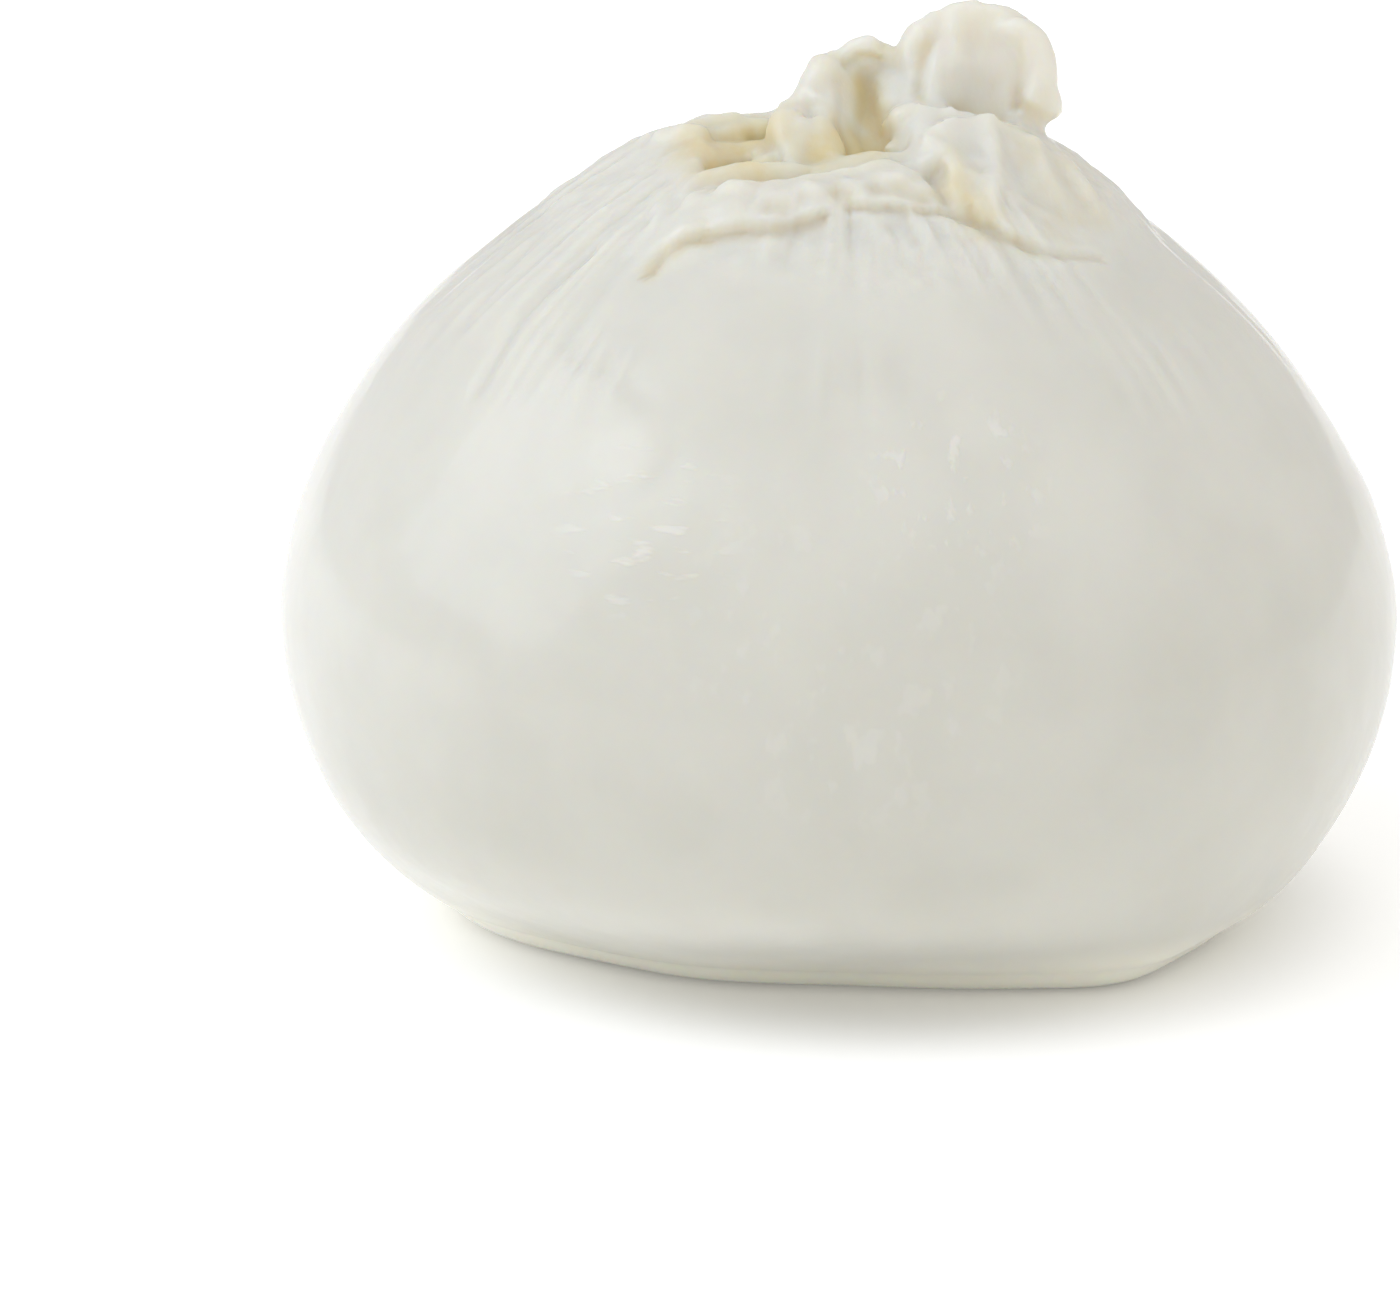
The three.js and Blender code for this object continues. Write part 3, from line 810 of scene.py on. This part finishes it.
# The same at the back of the topknot: lips, hanging folds and the curd that fills its gaps.
BACK_NUBS = (
    # the middle fold's lip and its hanging folds
    (
        [(-2.6, 7.4, 62.2), (-0.8, 8.4, 63.2), (1.0, 7.8, 63.8), (3.0, 8.8, 64.2),
         (5.4, 7.6, 64.8), (8.0, 7.2, 64.4), (10.4, 5.2, 63.8)],
        [0.7, 1.0, 0.8, 1.1, 0.8, 1.0, 0.7], 1,
    ),
    ([(-1.8, 7.6, 62.0), (-2.2, 8.6, 59.8), (-3.4, 10.2, 57.0)], [1.2, 1.9, 1.8], 1),
    ([(0.9, 8.4, 62.8), (0.6, 9.6, 60.2), (0.2, 11.8, 56.4)], [1.2, 2.1, 2.0], 1),
    ([(4.0, 8.0, 63.4), (4.2, 9.0, 60.4), (4.4, 11.4, 56.4)], [1.4, 2.2, 2.2], 1),
    ([(7.2, 7.6, 63.2), (7.8, 9.0, 60.4), (8.6, 11.2, 56.6)], [1.3, 2.1, 2.1], 1),
    ([(10.4, 4.8, 62.8), (11.2, 6.2, 60.2), (12.6, 7.8, 57.0)], [1.3, 2.0, 2.0], 1),
    # the left fold's lip and its hanging folds, and the gap between the two folds
    (
        [(-12.4, 1.6, 59.8), (-10.8, 2.2, 60.9), (-9.2, 1.8, 61.2), (-7.4, 2.6, 60.9),
         (-5.2, 4.2, 61.2)],
        [0.7, 0.9, 0.8, 0.9, 0.8], 1,
    ),
    ([(-11.6, 1.8, 60.0), (-12.6, 3.0, 58.4), (-13.8, 4.4, 56.4)], [1.2, 1.8, 1.7], 1),
    ([(-8.6, 2.6, 60.6), (-9.2, 4.4, 58.6), (-10.2, 6.8, 56.0)], [1.3, 2.0, 1.9], 1),
    ([(-5.8, 4.0, 60.6), (-6.4, 6.2, 58.6), (-7.2, 8.6, 56.2)], [1.4, 2.1, 2.0], 1),
    ([(-4.2, 5.2, 61.0), (-3.8, 7.0, 59.4), (-4.4, 9.6, 56.4)], [1.2, 1.9, 1.9], 1),
    (
        [(-6.0, 2.8, 60.0), (-4.4, 3.0, 60.6), (-3.0, 3.4, 61.4), (-1.6, 4.2, 62.0)],
        [1.4, 1.6, 1.8, 1.6], 1,
    ),
    ([(0.0, 6.0, 61.0), (3.4, 6.0, 62.0), (7.0, 4.4, 62.4), (9.6, 2.6, 62.0)], [1.9, 2, 2, 1.8], 1),
    # soft ridges down the back of the middle lobe and of the fan
    ([(0.2, 3.4, 65.8), (-0.4, 3.8, 64.2), (-0.4, 4.6, 62.0)], [0.8, 1.2, 1.4], 1),
    ([(2.8, 3.6, 66.0), (3.4, 3.8, 64.4)], [0.9, 1.2], 1),
    ([(6.6, 2.2, 68.6), (7.2, 1.5, 66.6), (6.8, 1.2, 64.0)], [0.8, 1.1, 1.3], 1),
    ([(9.8, 1.7, 69.6), (9.6, 1.2, 67.4), (10.4, 1.0, 64.6)], [0.7, 1.0, 1.3], 1),
    ([(12.6, 1.0, 69.2), (13.0, 0.7, 66.6), (12.6, 0.8, 63.8)], [0.7, 1.0, 1.3], 1),
    # the curd in front of the fan's foot
    ([(9.8, -2.8, 60.2), (12.8, -2.8, 60.0)], [1.5, 1.5], 1),
)

# Grooves pressed into the skin: the points of each one's line, its width and depth, and how much
# golden shade is painted along it, from 0 for plain skin over 0.7 for cream-toned shade to 1.1 for
# gold.
GROOVES = (
    # the deep crease between the veil and the curd right of it
    ([(1.4, 0.2, 64.1), (1.9, -0.8, 62.4), (2.6, -2.2, 60.9), (3.0, -4.0, 59.3)], 1.2, 0.25, 1.1),
    # the foot of the veil, with painted golden shade
    ([(-1.6, -6.0, 59.9), (-0.4, -5.0, 60.4), (1.4, -4.6, 60.1)], 1.9, 0, 1.1),
    ([(-0.3, 0.2, 65.5), (0.3, -0.6, 63.6), (0.3, -2.0, 61.7)], 1.5, 0, 0.35),
    # the crease under the collar's edge, left and right of the bright pleat
    (
        [(-14.5, -19.0, 53.9), (-13.2, -17.8, 54.9), (-11.9, -17.8, 55.8), (-10.1, -18.1, 56.3)],
        0.5, 0.5, 0.7,
    ),
    (
        [(-10.1, -18.1, 56.3), (-8.0, -18.1, 56.6), (-5.3, -18.0, 56.8), (-2.9, -17.5, 57.2),
         (-1.6, -17.0, 57.6)],
        0.5, 0.42, 0.5,
    ),
    ([(0.0, -16.2, 58.1), (2.8, -15.7, 58.0), (6.9, -14.7, 57.5)], 0.4, 0.45, 0.4),
    (
        [(6.9, -14.7, 57.5), (8.6, -14.7, 57.0), (10.4, -15.6, 56.5), (11.7, -15.7, 55.8),
         (13.7, -15.7, 54.9)],
        0.5, 0.55, 0.55,
    ),
    ([(13.7, -15.7, 54.9), (16.2, -15.1, 54.5), (18.9, -13.3, 53.8)], 0.5, 0.4, 0.35),
    # the shaded hollow left of the drape's ridge
    ([(7.7, -10.7, 59.0), (8.7, -13.5, 58.1), (9.8, -15.1, 57.1)], 1.25, 0.2, 0.8),
    ([(7.0, -10.8, 60.1), (7.9, -10.4, 61.4)], 1, 0, 0.35),
    # the shaded right side of the drape
    ([(14.1, -6.3, 61.1), (14.9, -9.1, 58.9), (15.9, -11.5, 56.6)], 2.4, 0, 0.42),
    ([(17.1, -5.9, 59.2), (18.3, -9.1, 56.8)], 2, 0, 0.38),
    # the crease of the fan, the shallow bowl of its veil and the furrow beside its rim
    ([(6.1, 0.2, 67.3), (5.9, -0.6, 65.4), (5.8, -1.6, 63.7)], 0.4, 0.25, 0.6),
    ([(10.3, 0.0, 68.5), (10.5, -0.8, 66.3), (10.3, -2.0, 64.3)], 2.4, 0.35, 0.2),
    ([(11.7, 0.2, 69.6), (11.8, -0.4, 67.6), (11.4, -1.4, 65.5)], 0.4, 0.25, 0.2),
    ([(13.6, -0.4, 68.6), (13.5, -1.2, 66.2), (13.0, -2.6, 63.4)], 0.45, 0.6, 0.4),
    ([(8.3, -0.2, 67.6), (8.4, -1.0, 65.7), (8.6, -2.0, 64.0)], 0.35, 0.2, 0.26),
    # the pocket and the shade under the middle lobe's lip
    ([(3.1, 0.2, 67.3), (3.9, 0.8, 66.9)], 0.5, 0.4, 0.5),
    ([(0.3, -0.3, 66.2), (1.5, -0.4, 66.7), (2.8, -0.4, 66.4)], 0.45, 0.45, 0.3),
    # the left hollow, with painted olive shade
    ([(-10.6, -4.0, 60.0), (-8.8, -4.0, 60.3), (-6.3, -3.0, 61.0)], 2, 0, 1),
    ([(-9.9, -7.0, 59.0), (-8.1, -7.0, 59.2), (-6.5, -8.0, 58.9)], 1.6, 0, 1),
    # dips in the collar's front
    ([(-6.0, -16.9, 58.3), (-4.7, -17.1, 58.1)], 0.8, 0.25, 0.3),
    ([(-0.7, -15.0, 59.1), (0.0, -15.9, 58.4)], 0.7, 0.3, 0.45),
    ([(2.2, -14.3, 59.3), (4.2, -14.3, 58.9), (6.0, -14.2, 58.5)], 0.7, 0.3, 0.42),
    # the long pleats of the left shoulder
    (
        [(-19.1, -14.4, 54.6), (-23.3, -16.9, 51.4), (-25.4, -19.5, 48.6), (-27.0, -21.4, 46.0)],
        0.8, 0.3, 0.16,
    ),
    ([(-16.5, -16.9, 54.5), (-18.9, -20.3, 51.9), (-20.8, -23.2, 49.2)], 0.8, 0.2, 0.1),
    ([(-22.7, -7.4, 54.7), (-26.0, -10.9, 51.7), (-28.4, -13.8, 48.9)], 0.8, 0.2, 0.08),
)

# Shallow dents in the body: the points of each one's crisp edge, with the dent to its left as it
# runs, its depth, and how far it takes to fade out.
DENTS = (
    (
        [(-18.9, -26.2, 47.7), (-16.5, -29.2, 46.1), (-14.6, -31.2, 44.8), (-14.0, -32.6, 43.2),
         (-15.6, -33.2, 41.7), (-17.9, -32.6, 41.0)],
        0.16,
        7,
    ),
)

# Patches where the wet skin has small raised flecks, each also painted lighter as a highlight:
# middle, reach, how the flecks are squeezed along each axis, their closeness, and how strong they
# are.
GLINTS = (
    ((-14.5, -35.0, 38.4), 8.5, (0.5, 0.5, 1.8), 0.62, 0.7),
    ((7.6, -34.0, 42.0), 8.5, (1.0, 0.6, 0.65), 0.8, 0.65),
    ((0.0, -40.0, 31.0), 17.0, (0.9, 0.7, 0.6), 0.62, 0.25),
)


class CheeseLook(bpy.types.PropertyGroup):
    """The sizes and colours of the cheese."""

    voxel: FloatProperty(
        name="Voxel", description="Fineness of the skin, in millimetres", default=1.08, min=0.5
    )
    pleats: IntProperty(name="Pleats", description="Folds gathered round the neck", default=120)
    pleat_depth: FloatProperty(
        name="Pleat depth", description="Depth of the neck's folds", default=0.0011, unit="LENGTH"
    )
    dimple_depth: FloatProperty(
        name="Dimple depth", description="Depth of the dimples, in millimetres", default=0.5
    )
    grain: FloatProperty(
        name="Grain", description="Radius of a grain of curd", default=0.00042, unit="LENGTH"
    )
    roughness: FloatProperty(
        name="Roughness", description="Roughness of the skin", default=0.36, subtype="FACTOR"
    )
    milk_colour: FloatVectorProperty(
        name="Milk", description="Colour of the skin", default=(0.72, 0.715, 0.66), subtype="COLOR"
    )
    # painted shade low on the body, and the colour of the random warm mottle
    mottle_and_low_shade_colour: FloatVectorProperty(
        name="Whey", description="Colour of the warmer parts", default=(0.58, 0.575, 0.515),
        subtype="COLOR",
    )
    # painted bounce light from the floor, a pale band just above the foot
    foot_bounce_colour: FloatVectorProperty(
        name="Foot", description="Colour of the skin just above the foot",
        default=(0.92, 0.90, 0.78), subtype="COLOR",
    )
    curd_colour: FloatVectorProperty(
        name="Curd", description="Colour of the torn topknot", default=(0.73, 0.725, 0.67),
        subtype="COLOR",
    )
    # painted shade in the creases, in a cream tone
    cream_shade_colour: FloatVectorProperty(
        name="Cream", description="Colour of the creases", default=(0.705, 0.665, 0.53),
        subtype="COLOR",
    )
    # painted golden shade in the deepest hollows
    gold_shade_colour: FloatVectorProperty(
        name="Gold", description="Colour of the deepest hollows", default=(0.70, 0.585, 0.335),
        subtype="COLOR",
    )


class StudioLook(bpy.types.PropertyGroup):
    """The light and the floor."""

    floor_colour: FloatVectorProperty(
        name="Floor", description="Colour of the floor", default=(0.94, 0.94, 0.94), subtype="COLOR"
    )
    # the floor glows less round the cheese, painting part of its shadow, and more far from it
    floor_glow_and_shadow: FloatVectorProperty(
        name="Floor glow", description="Glow of the light table under the cheese and far from it",
        default=(0.08, 0.29), size=2,
    )
    sky: FloatProperty(name="Sky", description="Strength of the light all round", default=0.615)
    left: FloatProperty(name="Left light", description="Strength of the left softbox", default=3.3)
    top: FloatProperty(name="Top light", description="Strength of the top light", default=0.585)
    glint: FloatProperty(
        name="Glint", description="Strength of the left small lamp, twice the right one's",
        default=0.07,
    )


class BURRATA_OT_cheese(bpy.types.Operator):
    """Build the burrata: pouch, gathered collar and torn topknot in one skin"""

    bl_idname = "burrata.cheese"
    bl_label = "Burrata"

    def execute(self, context):
        look = context.scene.burrata_cheese
        curd = curd_material(look)
        solid = merged_node()
        grain_source = linked("grain_source", solid.data.copy())
        grains = run_nodes(
            grain_source,
            grain_tree(),
            {
                "Centre": (0.0048, -0.0045, 0.0625),
                "Reach": 0.0045,
                "Spacing": 0.0008,
                "Grain": look.grain,
                "Seed": 4,
                "Material": curd,
            },
            "grains",
        )
        strands = [nub(points, radii, flat) for points, radii, flat in NUBS + BACK_NUBS]
        skin = melt(join([solid, grains, *strands], "curds"), look.voxel, "skin")
        soften(skin.data, knot_rounds=3, body_rounds=34)
        flatten_foot(skin.data)
        groove_shade = press_grooves(skin.data)
        press_dents(skin.data)
        undulate(skin.data, look.dimple_depth)
        piece = run_nodes(
            skin,
            relief_tree(),
            {
                "Pleats": look.pleats,
                "Depth": look.pleat_depth,
                "Top": 0.0575,
                "Reach": 0.018,
                "Seed": 3.0,
                "Material": curd,
            },
            "burrata_skin",
        )
        piece.data.name = "burrata_skin"
        points = points_of(piece.data)
        # painted golden shade: how closed in each point of the knot is, and the grooves' shade
        attribute(piece.data, "hollow", np.maximum(hollows(piece), groove_shade))
        attribute(piece.data, "torn", 1 - body_share(points))
        piece.data.shade_smooth()
        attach(piece, BODY)
        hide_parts(NODE)
        return {"FINISHED"}


class BURRATA_OT_studio(bpy.types.Operator):
    """Set the studio: the pale floor, soft lights, surroundings and the camera"""

    bl_idname = "burrata.studio"
    bl_label = "Studio"

    def execute(self, context):
        look = context.scene.burrata_studio
        scene = context.scene
        material = bpy.data.materials.new("Studio floor")
        material.use_nodes = True
        tree = Tree(material.node_tree)
        material.node_tree.nodes.clear()
        place = tree.add("ShaderNodeTexCoord", output="Object")
        # painted shadow: the floor's glow is weaker round the cheese
        away = tree.vector("DISTANCE", tree.scale(place, 1 / MM), SHADOW_MIDDLE, output="Value")
        near, far = look.floor_glow_and_shadow
        glow = tree.blend(tree.step(*SHADOW_RADII, away), (near, near, near, 1), (far, far, far, 1))
        paper = tree.add(
            "ShaderNodeBsdfPrincipled",
            None,
            {
                "Base Color": (*look.floor_colour, 1),
                "Roughness": 0.8,
                "Specular IOR Level": 0.2,
                "Emission Color": glow,
                "Emission Strength": 1.0,
            },
        )
        tree.add("ShaderNodeOutputMaterial", None, {"Surface": paper})
        corners = FLOOR_REACH * np.array([(-1, -1, 0), (1, -1, 0), (1, 1, 0), (-1, 1, 0)], float)
        floor = mesh_object("studio_floor", corners, [(0, 1, 2, 3)])
        floor.data.materials.append(material)

        world = bpy.data.worlds.new("Studio")
        world.use_nodes = True
        world.node_tree.nodes["Background"].inputs["Color"].default_value = (1.03, 1, 0.96, 1)
        world.node_tree.nodes["Background"].inputs["Strength"].default_value = look.sky
        scene.world = world

        softbox = bpy.data.lights.new("left_softbox", "AREA")
        softbox.shape = "RECTANGLE"
        softbox.size = 0.95
        softbox.size_y = 0.95
        softbox.energy = look.left
        softbox.color = (0.91, 1.0, 1.13)
        lamp = linked("left_softbox", softbox)
        lamp.location = (-0.777, -0.143, 0.62)
        facing = lamp.location.to_track_quat("Z", "Y") @ Quaternion((0, 0, 1), math.radians(-10))
        lamp.rotation_euler = facing.to_euler()

        suns = (
            ("top_light", (0.30, -0.30, 0.90), look.top, 80),
            ("left_glint", (-0.58, -0.27, 0.77), look.glint, 13),
            ("right_glint", (0.46, -0.26, 0.85), look.glint * 0.5, 11),
        )
        for name, towards, strength, angle in suns:
            sun = bpy.data.lights.new(name, "SUN")
            sun.energy = strength
            sun.color = (0.97, 1.0, 1.03)
            sun.angle = math.radians(angle)
            lamp = linked(name, sun)
            lamp.rotation_euler = Vector(towards).to_track_quat("Z", "Y").to_euler()

        data = bpy.data.cameras.new("camera")
        data.lens = 135
        data.sensor_width = 36
        data.clip_start = 0.01
        data.clip_end = 50
        camera = linked("camera", data)
        camera.location = (-0.0108, -0.3955, 0.1294)
        camera.rotation_euler = (math.radians(74.5), 0, 0)
        scene.camera = camera
        scene.view_settings.view_transform = "Standard"
        return {"FINISHED"}


class BURRATA_PT_panel(bpy.types.Panel):
    """Builds the burrata and its studio"""

    bl_label = "Burrata"
    bl_idname = "BURRATA_PT_panel"
    bl_space_type = "VIEW_3D"
    bl_region_type = "UI"
    bl_category = "Burrata"

    def draw(self, context):
        groups = (
            (BURRATA_OT_cheese, context.scene.burrata_cheese),
            (BURRATA_OT_studio, context.scene.burrata_studio),
        )
        for operator, look in groups:
            box = self.layout.box()
            box.operator(operator.bl_idname)
            for name in look.__annotations__:
                box.prop(look, name)


CLASSES = (CheeseLook, StudioLook, BURRATA_OT_cheese, BURRATA_OT_studio, BURRATA_PT_panel)


def register():
    """Makes Blender know the add-on's classes."""
    for cls in CLASSES:
        bpy.utils.register_class(cls)
    bpy.types.Scene.burrata_cheese = PointerProperty(type=CheeseLook)
    bpy.types.Scene.burrata_studio = PointerProperty(type=StudioLook)


def unregister():
    """Makes Blender forget the add-on's classes."""
    del bpy.types.Scene.burrata_studio
    del bpy.types.Scene.burrata_cheese
    for cls in reversed(CLASSES):
        bpy.utils.unregister_class(cls)


def main():
    """Builds everything."""
    register()
    bpy.ops.burrata.cheese()
    bpy.ops.burrata.studio()


if __name__ == "__main__":
    main()
